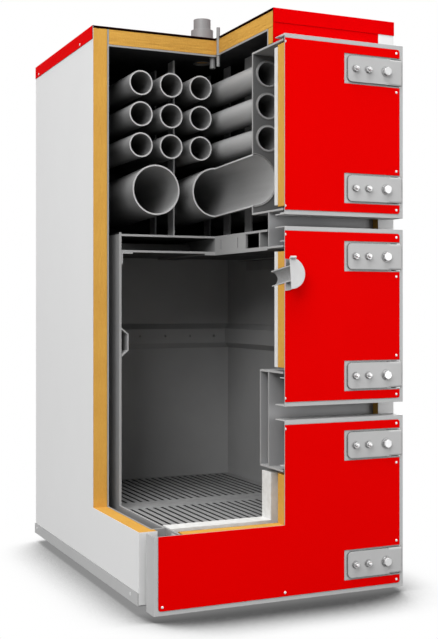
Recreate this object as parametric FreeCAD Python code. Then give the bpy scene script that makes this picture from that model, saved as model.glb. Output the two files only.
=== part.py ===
import FreeCAD, Part
import math
import os

from FreeCAD import Vector

# Solid-fuel hot water boiler with three stacked doors, shown as a cutaway: the upper front
# left quarter is taken out, so that tubes, fire chamber, water jacket and grate can be seen.
# Millimetres. While pieces are made, X runs from the middle plane to the right, Y runs back
# from the face of the door skins, and Z runs up from the floor. save() moves Y to mid depth.

# ---- casing ---------------------------------------------------------------------------
BODY_WIDTH = 876.0          # over the side panels
BODY_FRONT = 80.0           # front face of the casing, behind the door skins
BODY_BACK = 1225.0          # outer face of the back panel
BODY_BOTTOM = 35.0          # underside of the casing and of the bottom plate
BODY_TOP = 1825.0           # top of the lid
SHEET = 1.5                 # casing sheet
INSULATION = 48.5           # mineral wool round the water shell
LID_FLANGE = 44.0           # height of the lid's turned-down edge
LID_AIR_GAP = 6.5           # air between the wool and the lid
RETURN_OVERLAP = 8.0        # the side panels' turned-in front edges cover the shell by this
RAIL_HEIGHT = 34.0
RAIL_SHEET = 3.0
RAIL_FOOT = 30.0            # width of the rail's turned-in foot
RAIL_START = 4.0            # the rails begin this far behind the front
RAIL_TAIL = 7.0             # how far the rails stick out behind the back panel

# ---- the cut that opens the boiler ----------------------------------------------------
CUT_BACK = 514.5            # the left front quarter is taken out as far back as this
CUT_FLOOR = 247.0           # and down to this level

# ---- pressure body --------------------------------------------------------------------
SHELL_PLATE = 5.0           # outer plate of the water jacket
FRONT_PLATE = 6.0           # plates that close the jacket at the front, and door collars
CHAMBER_PLATE = 8.0         # fire chamber walls
WATER_GAP = 36.0            # between the chamber walls and the outer plate
BACK_WATER_GAP = 22.0       # the same behind the chamber
TOP_WOOL = 50.0             # wool above the shell
SHELL_RISE = 5.0            # side walls of the chamber stand this far above its roof
SHELL_FRONT = 113.0         # front face of the plates that close the side jackets
ROOF_BOTTOM = 1085.0        # underside of the water-cooled chamber roof
ROOF_TOP = 1145.0
ROOF_PLATE = 7.0
REVERSAL_DEPTH = 180.0      # the gases rise in this space behind the roof
REVERSAL_TOP = 1392.0       # roof of the chamber where the gases turn into the large tubes
TUBE_PLATE_FRONT = 219.0
REAR_BOX_DEPTH = 102.0      # space behind the small tubes
TUBE_PLATE = 8.0

# ---- tubes ----------------------------------------------------------------------------
SMALL_TUBE = 82.5
SMALL_WALL = 4.5
SMALL_PITCH_X = 108.0
SMALL_PITCH_Z = 103.5
SMALL_COLUMNS = 6
SMALL_ROWS = 3
SMALL_TOP_ROW = 1651.0      # axis of the uppermost row
LARGE_TUBE = 168.3
LARGE_WALL = 5.0
LARGE_PITCH = 216.0
LARGE_AXIS = 1296.0         # axis level at the cut
LARGE_RISE = 2.3            # degrees, rising to the front
TUBE_END = 2.0              # small tubes stand this far out of their plates
TUBE_FIT = 0.1              # radial room of a tube in its plate

# ---- stays, roof braces and secondary air duct ----------------------------------------
STAY_X = 108.0
STAY_FIRST = 448.0
STAY_PITCH = 176.0
STAY_ROWS = 3
STAY_THICK = 6.0
STAY_DEPTH = 50.0
BRACE_THICK = 8.0           # plate on edge along the middle of the roof
BRACE_FRONT = 273.5
BRACE_SLOTS = (331.0, 463.0)
BRACE_SLOT_WIDTH = 5.0
BRACE_SLOT_EDGE = 6.0
ROOF_CROSS_PLATE = 170.0    # plate that closes the roof's front box
ROOF_BAFFLE = 737.0
BAFFLE_GAP = 11.0           # water passes above the roof's baffle
ANGLE_LEG = 40.0            # angle bars that carry the roof
ANGLE_THICK = 5.0
CENTRE_PAD = 38.0
DUCT_BOTTOM = 738.0
DUCT_TOP = 835.0
DUCT_REACH = 25.0           # how far the duct stands off the chamber wall
DUCT_SLOPE = 20.5           # height of each slanting side
DUCT_SHEET = 5.0
DUCT_SLANT_SHEET = 6.0      # upright thickness of the slanting sides
DUCT_HOLE = 9.0
DUCT_HOLE_PITCH = 105.5
DUCT_HOLES = 6

# ---- grate and sill -------------------------------------------------------------------
GRATE_TOP = 228.0
GRATE_THICK = 24.0
SILL_GAP = 3.0              # between the sill and the grate
GRATE_SPLIT = 591.0
GRATE_BORDER = 59.0         # solid strip at each side of the split
GRATE_END = 17.0            # solid strip at the front and back ends
SLOT_WIDTH = 10.0
SLOT_PITCH = 27.27
SLOTS = 23
LEDGE = 15.0
LEDGE_HEIGHT = 12.0
LEDGE_REACH = 46.0          # the front ledge runs this far behind the jacket's front plate
SILL_FRONT = 93.0
SILL_BACK = 155.0
SILL_TOP = 393.0
LOOSE_FIT = 0.3             # room round loose castings, bricks and pipes
SHEET_ROOM = 1.0            # room round pipes in the casing's sheets

# ---- doors: bottom and top edge of each, and of the opening behind it -------------------
ASH_DOOR = (20.0, 562.0)
FIRE_DOOR = (604.0, 1148.0)
SMOKE_DOOR = (1184.0, 1729.0)
ASH_OPENING = (70.0, 405.0)
FIRE_OPENING = (708.0, ROOF_BOTTOM)
SMOKE_OPENING = (1203.0, 1709.0)
APRON_GAP = 2.0             # between the smoke door's collar and the fascia
OPENING_STEP = 4.0          # the openings are this much narrower than the chamber, each side
DOOR_MARGIN = 16.5          # casing that shows each side of the doors
DOOR_DEPTH = 64.0
DOOR_SHEET = 3.0
SKIN_SHEET = 2.0
SKIN_BORDER = 13.5          # grey frame left round the skin
SKIN_CORNER = 8.0
COLLAR_FRONT = 12.0         # front edge of the collars, inside the door trays
WOOL_BACK = 49.0            # door wool runs from the tray to this depth
BOARD_BACK = 70.0           # refractory board behind it
BOARD_SIDE_GAP = 7.0
BOARD_GAP = 12.0            # room above and below the boards and wool of each door
SMOKE_WOOL_GAP = 6.0
ASH_WOOL_GAP = 8.0
LIP_OFFSET = 14.0           # door lip outside the collar
LIP_SHEET = 3.0
LIP_DEPTH = 34.0
BOX_BACK = 164.0            # back plate of the water box between the doors

# ---- hinges ---------------------------------------------------------------------------
HINGE_INSET = 38.0          # pin axis inside the casing's side
HINGE_Y = 21.0
HINGE_SPREAD = 185.0        # each hinge above or below the middle of its door
PIN_RADIUS = 7.0
PIN_CLEARANCE = 0.06
PIN_HEAD_WIDER = 3.0
PIN_HEAD = 4.0
LUG_WALL = 7.0              # round the pin
LUG_GAP = 5.0               # between the lug and each ear of the knuckle
LUG_FOOT_GAP = 11.0         # between the collar and the lug's foot
LUG_ARM = 20.0
STRAP_LENGTH = 148.0
STRAP_HALF = 40.0
STRAP_THICK = 6.0
STRAP_CORNER = 14.0
KNUCKLE_INSIDE = 34.0       # knuckle's ends, measured from the pin's axis
KNUCKLE_OUTSIDE = 12.6
KNUCKLE_BEHIND = 12.0
KNUCKLE_HALF = 41.0
KNUCKLE_BEND = 7.0
WINDOW_GAP = 2.0            # slot left round the knuckle
NOTCH_ROOM = 15.0           # notch in the tray's edge, above and below the lug
NOTCH_FRONT = 7.0
RECESS_SIDE = 12.0          # the skin is cut back this far from the leaf's end
RECESS_EDGE = 6.0           # and from the knuckle's top and bottom

# ---- fire door air inlet --------------------------------------------------------------
INLET_Z = 1001.0            # axis level at the door face
INLET_RISE = 6.8            # degrees, rising to the front
INLET_TUBE = 48.3
INLET_WALL = 3.0
INLET_FRONT = -33.0
INLET_BACK = 90.0
INLET_RING = 48.0
INLET_RING_THICK = 4.0
COVER_RADIUS = 47.7
COVER_THICK = 4.0
COVER_GRIP = 4.0            # radius of the rolled grip
COVER_GRIP_HALF = 18.0

# ---- connections ----------------------------------------------------------------------
SUPPLY_Y = 626.0
SUPPLY_RADIUS = 30.15
SUPPLY_WALL = 4.0
SUPPLY_ABOVE = 88.0         # pipe above the lid
SUPPLY_BELOW = 3.0          # pipe below the shell's top
SOCKET_WALL = 8.85
SOCKET_ABOVE = 50.0
POCKET_X = 0.0
POCKET_Y = 488.0
POCKET_RADIUS = 6.0
POCKET_WALL = 1.5
POCKET_ABOVE = 31.0
POCKET_BELOW = 44.0
POCKET_FLOOR = 4.0
NIPPLE_Y = 535.0
NIPPLE_RADIUS = 10.0
NIPPLE_WALL = 3.0
NIPPLE_BELOW = 42.0
FLUE_Z = 1548.0
FLUE_RADIUS = 125.0
FLUE_SHEET = 3.0
FLUE_REACH = 55.0
BEAD_GAP = 1.0               # bead round a pipe stub, outside the back panel
BEAD_WIDTH = 4.0
BEAD_HEIGHT = 3.0
RETURN_Z = 300.0
RETURN_REACH = 55.0

# ---- base -----------------------------------------------------------------------------
SKID_INSET = 108.0
SKID_WIDTH = 60.0
SKID_FRONT = 140.0
SKID_BEHIND = 45.0          # the skids end this far before the back panel
CROSS_WIDTH = 60.0

# ---- worked out from the sizes above --------------------------------------------------
half_width = BODY_WIDTH / 2
panel_inside = half_width - SHEET
shell_outside = panel_inside - INSULATION
shell_inside = shell_outside - SHELL_PLATE
chamber_outside = shell_inside - WATER_GAP
chamber_half = chamber_outside - CHAMBER_PLATE
opening_half = chamber_half - OPENING_STEP
collar_half = opening_half + FRONT_PLATE
return_edge = shell_outside - RETURN_OVERLAP
casing_inside_front = BODY_FRONT + SHEET
jacket_front_back = SHELL_FRONT + FRONT_PLATE
box_front = SHELL_FRONT - FRONT_PLATE
shell_back = BODY_BACK - SHEET - INSULATION
chamber_back_face = shell_back - SHELL_PLATE - BACK_WATER_GAP - CHAMBER_PLATE
roof_back = chamber_back_face - REVERSAL_DEPTH
tube_plate_back = shell_back - SHELL_PLATE - REAR_BOX_DEPTH - TUBE_PLATE
plate_bottom = BODY_BOTTOM + FRONT_PLATE
lid_bottom = BODY_TOP - LID_FLANGE
panel_top = BODY_TOP - 2 * SHEET
wool_top = BODY_TOP - SHEET - LID_AIR_GAP
shell_top = wool_top - TOP_WOOL
apron_bottom = SMOKE_OPENING[1] + FRONT_PLATE + APRON_GAP
grate_bottom = GRATE_TOP - GRATE_THICK
tray_front = SKIN_SHEET
tray_inside = SKIN_SHEET + DOOR_SHEET
door_half = half_width - DOOR_MARGIN
hinge_x = half_width - HINGE_INSET
knuckle_left = hinge_x - KNUCKLE_INSIDE
knuckle_right = hinge_x + KNUCKLE_OUTSIDE
knuckle_back = HINGE_Y + KNUCKLE_BEHIND
strap_left = knuckle_left - STRAP_LENGTH
strap_front = tray_front - STRAP_THICK
lug_half = KNUCKLE_HALF - STRAP_THICK - LUG_GAP
socket_radius = SUPPLY_RADIUS + SOCKET_WALL
front_reach = INLET_FRONT - COVER_THICK - COVER_RADIUS * math.sin(math.radians(INLET_RISE))
back_reach = BODY_BACK + FLUE_REACH
mid_depth = (front_reach + back_reach) / 2

os.makedirs("parts", exist_ok=True)


def box(x0, x1, y0, y1, z0, z1):
    return Part.makeBox(x1 - x0, y1 - y0, z1 - z0, Vector(x0, y0, z0))


def rod(radius, start, end):
    """Round bar between two points."""
    along = end.sub(start)
    return Part.makeCylinder(radius, along.Length, start, along)


def joined(*shapes):
    """One solid from pieces that are welded or cast together."""
    return shapes[0].fuse(list(shapes[1:])).removeSplitter()


def opened(shape):
    """The shape with the upper front left quarter taken out."""
    quarter = box(-half_width - 50, 0, front_reach - 50, CUT_BACK, CUT_FLOOR, BODY_TOP + 200)
    return shape.cut(quarter).removeSplitter()


def save(name, *shapes):
    """Write one node, moved so that Y = 0 lies at mid depth."""
    solids = [solid.copy() for shape in shapes for solid in shape.Solids]
    for solid in solids:
        solid.translate(Vector(0, -mid_depth, 0))
    node = solids[0] if len(solids) == 1 else Part.makeCompound(solids)
    node.exportStep("parts/" + name + ".step")


def rounded_plate(x0, x1, y0, y1, z0, z1, radius):
    """Upright plate with rounded corners."""
    plate = box(x0, x1, y0, y1, z0, z1)
    edges = [e for e in plate.Edges if abs(e.tangentAt(e.FirstParameter).y) > 0.99]
    return plate.makeFillet(radius, edges)


# ---- base and casing ------------------------------------------------------------------
def base_frame():
    half = SKID_WIDTH / 2
    reach = half_width - SKID_INSET
    back = BODY_BACK - SKID_BEHIND
    skids = [box(side * reach - half, side * reach + half, SKID_FRONT, back, 0, BODY_BOTTOM)
             for side in (-1, 1)]
    bars = [box(-reach, reach, y, y + CROSS_WIDTH, 0, BODY_BOTTOM)
            for y in (SKID_FRONT, back - CROSS_WIDTH)]
    return joined(*skids, *bars)


def side_rail(side):
    """Angle rail along the foot of a side panel."""
    ends = (BODY_FRONT + RAIL_START, BODY_BACK + RAIL_TAIL)
    outer = half_width + RAIL_SHEET
    leg = box(half_width, outer, *ends, BODY_BOTTOM, BODY_BOTTOM + RAIL_HEIGHT)
    foot = box(half_width - RAIL_FOOT, outer, *ends, BODY_BOTTOM - RAIL_SHEET, BODY_BOTTOM)
    rail = joined(leg, foot)
    return rail if side > 0 else rail.mirror(Vector(0, 0, 0), Vector(1, 0, 0))


def side_panel(side):
    """Side sheet with a turned-in front edge, standing inside the lid's flange."""
    sheet = box(panel_inside, half_width, BODY_FRONT, BODY_BACK, BODY_BOTTOM, panel_top)
    turned = box(return_edge, half_width, BODY_FRONT, casing_inside_front, BODY_BOTTOM, lid_bottom)
    panel = joined(sheet, turned)
    if side < 0:
        panel = panel.mirror(Vector(0, 0, 0), Vector(1, 0, 0))
    return opened(panel)


def flue_hole(y0, y1, room):
    return rod(FLUE_RADIUS + room, Vector(0, y0, FLUE_Z), Vector(0, y1, FLUE_Z))


def return_hole(y0, y1, room):
    return rod(SUPPLY_RADIUS + room, Vector(0, y0, RETURN_Z), Vector(0, y1, RETURN_Z))


def top_hole(radius, x, y, z0, z1):
    return rod(radius, Vector(x, y, z0), Vector(x, y, z1))


def back_panel():
    sheet = box(-panel_inside, panel_inside, BODY_BACK - SHEET, BODY_BACK, BODY_BOTTOM, panel_top)
    holes = [hole(shell_back, back_reach, SHEET_ROOM) for hole in (flue_hole, return_hole)]
    return sheet.cut(holes)


def top_lid():
    """Flat lid whose edges turn down outside the panels, in one folded sheet."""
    outer = half_width + SHEET
    front = BODY_FRONT - SHEET
    back = BODY_BACK + SHEET
    block = box(-outer, outer, front, back, lid_bottom, BODY_TOP)
    inside = box(-half_width, half_width, BODY_FRONT, BODY_BACK, lid_bottom - 1, BODY_TOP - SHEET)
    lid = block.cut(inside)
    levels = (lid_bottom, BODY_TOP + SHEET)
    lid = lid.cut(top_hole(socket_radius + SHEET_ROOM, 0, SUPPLY_Y, *levels))
    lid = lid.cut(top_hole(POCKET_RADIUS + SHEET_ROOM, POCKET_X, POCKET_Y, *levels))
    return opened(lid)


def front_fascia():
    """Sheet between the lid and the smoke door."""
    return opened(box(-return_edge, return_edge, BODY_FRONT, casing_inside_front, apron_bottom,
                      panel_top))


def side_wool(side):
    wool = box(shell_outside, panel_inside, casing_inside_front, BODY_BACK - SHEET, BODY_BOTTOM,
               wool_top)
    nose = box(return_edge, shell_outside, casing_inside_front, SHELL_FRONT, BODY_BOTTOM,
               shell_top)
    wool = joined(wool, nose)
    if side < 0:
        wool = wool.mirror(Vector(0, 0, 0), Vector(1, 0, 0))
    return opened(wool)


def back_wool():
    wool = box(-shell_outside, shell_outside, shell_back, BODY_BACK - SHEET, BODY_BOTTOM, shell_top)
    holes = [hole(shell_back - 1, BODY_BACK, SHEET_ROOM) for hole in (flue_hole, return_hole)]
    return wool.cut(holes)


def top_wool():
    """Wool above the shell, turned down in front of it behind the fascia."""
    slab = box(-shell_inside, shell_inside, casing_inside_front, BODY_BACK - SHEET, shell_top,
               wool_top)
    apron = box(-return_edge, return_edge, casing_inside_front, SHELL_FRONT, apron_bottom,
                shell_top)
    wool = joined(slab, apron)
    levels = (shell_top - 1, BODY_TOP)
    wool = wool.cut(top_hole(socket_radius + LOOSE_FIT, 0, SUPPLY_Y, *levels))
    wool = wool.cut(top_hole(POCKET_RADIUS + LOOSE_FIT, POCKET_X, POCKET_Y, *levels))
    return opened(wool)


# ---- water shell ----------------------------------------------------------------------
def bottom_plate():
    return box(-shell_outside, shell_outside, SHELL_FRONT, shell_back, BODY_BOTTOM, plate_bottom)


def shell_side(side):
    plate = box(shell_inside, shell_outside, jacket_front_back, shell_back, plate_bottom, wool_top)
    if side < 0:
        plate = plate.mirror(Vector(0, 0, 0), Vector(1, 0, 0))
    return opened(plate)


def shell_back_plate():
    plate = box(-shell_inside, shell_inside, shell_back - SHELL_PLATE, shell_back, plate_bottom,
                shell_top)
    inner = shell_back - 2 * SHELL_PLATE
    return plate.cut([hole(inner, BODY_BACK, LOOSE_FIT) for hole in (flue_hole, return_hole)])


def shell_top_plate():
    plate = box(-shell_inside, shell_inside, jacket_front_back, shell_back - SHELL_PLATE,
                shell_top - FRONT_PLATE, shell_top)
    levels = (shell_top - 2 * FRONT_PLATE, shell_top + 1)
    plate = plate.cut(top_hole(SUPPLY_RADIUS + LOOSE_FIT, 0, SUPPLY_Y, *levels))
    plate = plate.cut(top_hole(POCKET_RADIUS + LOOSE_FIT, POCKET_X, POCKET_Y, *levels))
    return opened(plate)


def shell_front_plates():
    """Plates that close the water jacket at the front, round the door openings."""
    depth = (SHELL_FRONT, jacket_front_back)
    right = box(collar_half, shell_outside, *depth, plate_bottom, shell_top)
    left = box(-shell_outside, -collar_half, *depth, plate_bottom, shell_top)
    foot = box(-collar_half, collar_half, *depth, plate_bottom, ASH_OPENING[0] - FRONT_PLATE)
    head = box(-collar_half, collar_half, *depth, SMOKE_OPENING[1] + FRONT_PLATE, shell_top)
    reach = collar_half + FRONT_PLATE
    band = box(-reach, reach, box_front, SHELL_FRONT, ROOF_BOTTOM + ROOF_PLATE,
               SMOKE_OPENING[0] - FRONT_PLATE)
    return opened(joined(right, left, foot, head, band))


# ---- fire chamber ---------------------------------------------------------------------
def chamber_side(side):
    """Side wall, carried up behind the roof to form the reversal chamber."""
    low = box(chamber_half, chamber_outside, jacket_front_back, chamber_back_face + CHAMBER_PLATE,
              plate_bottom, ROOF_TOP + SHELL_RISE)
    high = box(chamber_half, chamber_outside, roof_back, chamber_back_face + CHAMBER_PLATE, ROOF_TOP,
               REVERSAL_TOP)
    wall = joined(low, high)
    if side < 0:
        wall = wall.mirror(Vector(0, 0, 0), Vector(1, 0, 0))
    return opened(wall)


def chamber_back():
    return box(-chamber_half, chamber_half, chamber_back_face, chamber_back_face + CHAMBER_PLATE,
               plate_bottom, REVERSAL_TOP)


def chamber_roof():
    """Flat water box over the fire: two plates, braces between them, angles at the walls."""
    front = jacket_front_back
    inside = (ROOF_BOTTOM + ROOF_PLATE, ROOF_TOP - ROOF_PLATE)
    lower = box(-chamber_half, chamber_half, front, roof_back, ROOF_BOTTOM, inside[0])
    upper = box(-chamber_half, chamber_half, front, roof_back, inside[1], ROOF_TOP)
    brace = box(0, BRACE_THICK, BRACE_FRONT, roof_back, *inside)
    for y in BRACE_SLOTS:
        brace = brace.cut(box(-1, BRACE_THICK + 1, y, y + BRACE_SLOT_WIDTH,
                              inside[0] + BRACE_SLOT_EDGE, inside[1] - BRACE_SLOT_EDGE))
    cross = box(-chamber_half, chamber_half, ROOF_CROSS_PLATE, ROOF_CROSS_PLATE + FRONT_PLATE,
                *inside)
    baffle = box(-chamber_half, chamber_half, ROOF_BAFFLE, ROOF_BAFFLE + FRONT_PLATE, inside[0],
                 inside[1] - BAFFLE_GAP)
    rear = box(-chamber_half, chamber_half, roof_back - ROOF_PLATE, roof_back, *inside)
    pads = [box(-CENTRE_PAD, CENTRE_PAD, front, roof_back, ROOF_BOTTOM - ANGLE_THICK, ROOF_BOTTOM)]
    leg = box(chamber_half - ANGLE_LEG, chamber_half, front, roof_back, ROOF_BOTTOM - ANGLE_THICK,
              ROOF_BOTTOM)
    web = box(chamber_half - ANGLE_THICK, chamber_half, front, roof_back, ROOF_BOTTOM - ANGLE_LEG,
              ROOF_BOTTOM - ANGLE_THICK)
    for bar in (leg, web):
        pads += [bar, bar.mirror(Vector(0, 0, 0), Vector(1, 0, 0))]
    return opened(joined(lower, upper, brace, cross, baffle, rear, *pads))


def reversal_box():
    """Upright plate with the large tubes' holes, and the roof behind it."""
    front = box(-chamber_half, chamber_half, roof_back, roof_back + TUBE_PLATE, ROOF_BOTTOM,
                REVERSAL_TOP)
    roof = box(-chamber_half, chamber_half, roof_back, chamber_back_face, REVERSAL_TOP - FRONT_PLATE,
               REVERSAL_TOP)
    shape = joined(front, roof)
    for x in large_columns():
        shape = shape.cut(large_bar(x, LARGE_TUBE / 2 + TUBE_FIT))
    return shape


# ---- tubes ----------------------------------------------------------------------------
def small_axes():
    """Column and level of each small tube."""
    first = -(SMALL_COLUMNS - 1) / 2
    return [((first + column) * SMALL_PITCH_X, SMALL_TOP_ROW - row * SMALL_PITCH_Z)
            for row in range(SMALL_ROWS) for column in range(SMALL_COLUMNS)]


def large_columns():
    return [-LARGE_PITCH, 0, LARGE_PITCH]


def large_bar(x, radius):
    """Round bar along a large tube's slanting axis, past both tube plates."""
    slope = math.tan(math.radians(LARGE_RISE))
    ends = [Vector(x, y, LARGE_AXIS - (y - CUT_BACK) * slope)
            for y in (TUBE_PLATE_FRONT - LARGE_WALL * 10, roof_back + LARGE_WALL * 10)]
    return rod(radius, *ends)


def small_tubes():
    tubes = []
    front = TUBE_PLATE_FRONT - TUBE_END
    back = tube_plate_back + TUBE_PLATE + TUBE_END
    for x, z in small_axes():
        ends = [Vector(x, front, z), Vector(x, back, z)]
        tube = rod(SMALL_TUBE / 2, *ends).cut(rod(SMALL_TUBE / 2 - SMALL_WALL, *ends))
        tubes.append(opened(tube))
    return tubes


def large_tubes():
    tubes = []
    for x in large_columns():
        tube = large_bar(x, LARGE_TUBE / 2).cut(large_bar(x, LARGE_TUBE / 2 - LARGE_WALL))
        span = box(x - LARGE_TUBE, x + LARGE_TUBE, TUBE_PLATE_FRONT, roof_back + TUBE_PLATE, ROOF_TOP,
                   shell_top)
        tubes.append(opened(tube.common(span)))
    return tubes


def tube_hole(x, z, plate_front):
    """What one small tube needs in a plate."""
    return rod(SMALL_TUBE / 2 + TUBE_FIT, Vector(x, plate_front - 1, z),
               Vector(x, plate_front + TUBE_PLATE + 1, z))


def front_tube_plate():
    plate = box(-opening_half, opening_half, TUBE_PLATE_FRONT, TUBE_PLATE_FRONT + TUBE_PLATE,
                *SMOKE_OPENING)
    for x, z in small_axes():
        plate = plate.cut(tube_hole(x, z, TUBE_PLATE_FRONT))
    for x in large_columns():
        plate = plate.cut(large_bar(x, LARGE_TUBE / 2 + TUBE_FIT))
    return opened(plate)


def rear_tube_plate():
    """Plate across the water space at the small tubes' rear ends."""
    plate = box(-shell_inside, shell_inside, tube_plate_back, tube_plate_back + TUBE_PLATE,
                REVERSAL_TOP, shell_top - FRONT_PLATE)
    for x, z in small_axes():
        plate = plate.cut(tube_hole(x, z, tube_plate_back))
    return plate


def stay_bars():
    bars = []
    for side in (-1, 1):
        for row in range(STAY_ROWS):
            y = STAY_FIRST + row * STAY_PITCH
            x = side * STAY_X
            bar = box(x - STAY_THICK / 2, x + STAY_THICK / 2, y, y + STAY_DEPTH, ROOF_TOP,
                      shell_top - FRONT_PLATE)
            bars.append(opened(bar))
    return bars


# ---- collars and water boxes between the doors ----------------------------------------
def collar(opening, back):
    """Welded frame round a door opening, reaching forward into the door's tray."""
    bottom, top = opening
    outer = box(-collar_half, collar_half, COLLAR_FRONT, back, bottom - FRONT_PLATE,
                top + FRONT_PLATE)
    hole = box(-opening_half, opening_half, COLLAR_FRONT - 1, back + 1, bottom, top)
    return outer.cut(hole)


def smoke_collar():
    return opened(collar(SMOKE_OPENING, TUBE_PLATE_FRONT + TUBE_PLATE))


def fire_collar():
    """Collar of the fire door; its floor runs back over the water box."""
    frame = collar(FIRE_OPENING, SHELL_FRONT + FRONT_PLATE)
    floor = box(-chamber_half, chamber_half, jacket_front_back, BOX_BACK + FRONT_PLATE,
                FIRE_OPENING[0] - FRONT_PLATE, FIRE_OPENING[0])
    return opened(joined(frame, floor))


def ash_collar():
    frame = collar(ASH_OPENING, SHELL_FRONT + FRONT_PLATE)
    ceiling = box(-chamber_half, chamber_half, jacket_front_back, BOX_BACK + FRONT_PLATE,
                  ASH_OPENING[1], ASH_OPENING[1] + FRONT_PLATE)
    return opened(joined(frame, ceiling))


def water_box():
    """Front and back plates of the water box between the fire and ash doors."""
    levels = (ASH_OPENING[1] + FRONT_PLATE, FIRE_OPENING[0] - FRONT_PLATE)
    reach = collar_half + FRONT_PLATE
    front = box(-reach, reach, box_front, SHELL_FRONT, *levels)
    back = box(-chamber_half, chamber_half, BOX_BACK, BOX_BACK + FRONT_PLATE, *levels)
    return [opened(front), opened(back)]


# ---- grate, sill and air duct ---------------------------------------------------------
def grate(front, back, slot_front, slot_back):
    """Cast grate with lengthwise slots."""
    half = chamber_half - LOOSE_FIT
    plate = box(-half, half, front, back, grate_bottom, GRATE_TOP)
    slots = []
    for index in range(SLOTS):
        x = (index - (SLOTS - 1) / 2) * SLOT_PITCH
        slots.append(box(x - SLOT_WIDTH / 2, x + SLOT_WIDTH / 2, slot_front, slot_back,
                         grate_bottom - 1, GRATE_TOP + 1))
    return plate.cut(slots)


def grates():
    joint = LOOSE_FIT / 2
    front_end = SILL_BACK + SILL_GAP
    back_end = chamber_back_face - LOOSE_FIT
    front = grate(front_end, GRATE_SPLIT - joint, front_end + GRATE_END, GRATE_SPLIT - GRATE_BORDER)
    back = grate(GRATE_SPLIT + joint, back_end, GRATE_SPLIT + GRATE_BORDER, back_end - GRATE_END)
    return [front, back]


def grate_ledges():
    """Bars on the chamber walls and across them, which carry the grates and the sill."""
    levels = (grate_bottom - LEDGE_HEIGHT, grate_bottom)
    half = opening_half - LOOSE_FIT
    wide = chamber_half - LOOSE_FIT
    back = chamber_back_face - LOOSE_FIT
    front = box(-half, half, SILL_FRONT, jacket_front_back + LEDGE_REACH, *levels)
    right = box(wide - LEDGE, wide, jacket_front_back, back, *levels)
    left = box(-wide, LEDGE - wide, jacket_front_back, back, *levels)
    middle = box(-wide, wide, GRATE_SPLIT - LEDGE / 2, GRATE_SPLIT + LEDGE / 2, *levels)
    rear = box(-wide, wide, back - LEDGE, back, *levels)
    return joined(front, right, left, middle, rear)


def sill():
    half = opening_half - LOOSE_FIT
    return opened(box(-half, half, SILL_FRONT, SILL_BACK, grate_bottom, SILL_TOP))


def duct_ring(reach, bottom, top, slope):
    """Space between the chamber walls and a waist that stands off them by the reach."""
    front = jacket_front_back
    walls = box(-chamber_half, chamber_half, front, chamber_back_face, bottom, top)

    def outline(inset, z):
        x = chamber_half - inset
        y = chamber_back_face - inset
        points = [(-x, front - 1), (x, front - 1), (x, y), (-x, y), (-x, front - 1)]
        return Part.makePolygon([Vector(px, py, z) for px, py in points])

    lower = Part.makeLoft([outline(0, bottom), outline(reach, bottom + slope)], True, True)
    middle = box(-chamber_half + reach, chamber_half - reach, front - 1, chamber_back_face - reach,
                 bottom + slope, top - slope)
    upper = Part.makeLoft([outline(reach, top - slope), outline(0, top)], True, True)
    return walls.cut([lower, middle, upper])


def air_duct():
    """Folded channel round the chamber walls, with air holes in its rear face."""
    inside = duct_ring(DUCT_REACH - DUCT_SHEET, DUCT_BOTTOM + DUCT_SLANT_SHEET,
                       DUCT_TOP - DUCT_SLANT_SHEET, DUCT_SLOPE * (1 - DUCT_SHEET / DUCT_REACH))
    duct = duct_ring(DUCT_REACH, DUCT_BOTTOM, DUCT_TOP, DUCT_SLOPE).cut(inside)
    level = (DUCT_BOTTOM + DUCT_TOP) / 2
    for index in range(DUCT_HOLES):
        x = (index - (DUCT_HOLES - 1) / 2) * DUCT_HOLE_PITCH
        face = chamber_back_face - DUCT_REACH
        duct = duct.cut(rod(DUCT_HOLE / 2, Vector(x, face - 1, level),
                            Vector(x, face + DUCT_SHEET + 1, level)))
    return opened(duct)


# ---- connections ----------------------------------------------------------------------
def supply_pipe():
    """Flow pipe welded into the shell, with a socket that passes through the lid."""
    ends = (shell_top - SUPPLY_BELOW, BODY_TOP + SUPPLY_ABOVE)
    pipe = top_hole(SUPPLY_RADIUS, 0, SUPPLY_Y, *ends)
    socket = top_hole(socket_radius, 0, SUPPLY_Y, shell_top, BODY_TOP + SOCKET_ABOVE)
    bore = top_hole(SUPPLY_RADIUS - SUPPLY_WALL, 0, SUPPLY_Y, *ends)
    return joined(pipe, socket).cut(bore)


def sensor_pocket():
    bottom = shell_top - POCKET_BELOW
    top = BODY_TOP + POCKET_ABOVE
    pocket = top_hole(POCKET_RADIUS, POCKET_X, POCKET_Y, bottom, top)
    return pocket.cut(top_hole(POCKET_RADIUS - POCKET_WALL, POCKET_X, POCKET_Y,
                               bottom + POCKET_FLOOR, top))


def vent_nipple():
    ends = (shell_top - NIPPLE_BELOW, shell_top - FRONT_PLATE)
    nipple = top_hole(NIPPLE_RADIUS, 0, NIPPLE_Y, *ends)
    return nipple.cut(top_hole(NIPPLE_RADIUS - NIPPLE_WALL, 0, NIPPLE_Y, *ends))


def back_stub(radius, wall, level, reach):
    """Pipe that stands out of the back, with a bead that stops a slipped-on pipe at the panel."""
    ends = [Vector(0, y, level) for y in (shell_back - SHELL_PLATE, BODY_BACK + reach)]
    bead_ends = [Vector(0, BODY_BACK + y, level) for y in (BEAD_GAP, BEAD_GAP + BEAD_WIDTH)]
    pipe = joined(rod(radius, *ends), rod(radius + BEAD_HEIGHT, *bead_ends))
    return pipe.cut(rod(radius - wall, *ends))


def flue_spigot():
    return back_stub(FLUE_RADIUS, FLUE_SHEET, FLUE_Z, FLUE_REACH)


def return_pipe():
    return back_stub(SUPPLY_RADIUS, SUPPLY_WALL, RETURN_Z, RETURN_REACH)


# ---- hinges on the body ---------------------------------------------------------------
def hinge_pair(door):
    middle = (door[0] + door[1]) / 2
    return [middle - HINGE_SPREAD, middle + HINGE_SPREAD]


def hinge_levels():
    return [z for door in (ASH_DOOR, FIRE_DOOR, SMOKE_DOOR) for z in hinge_pair(door)]


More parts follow.
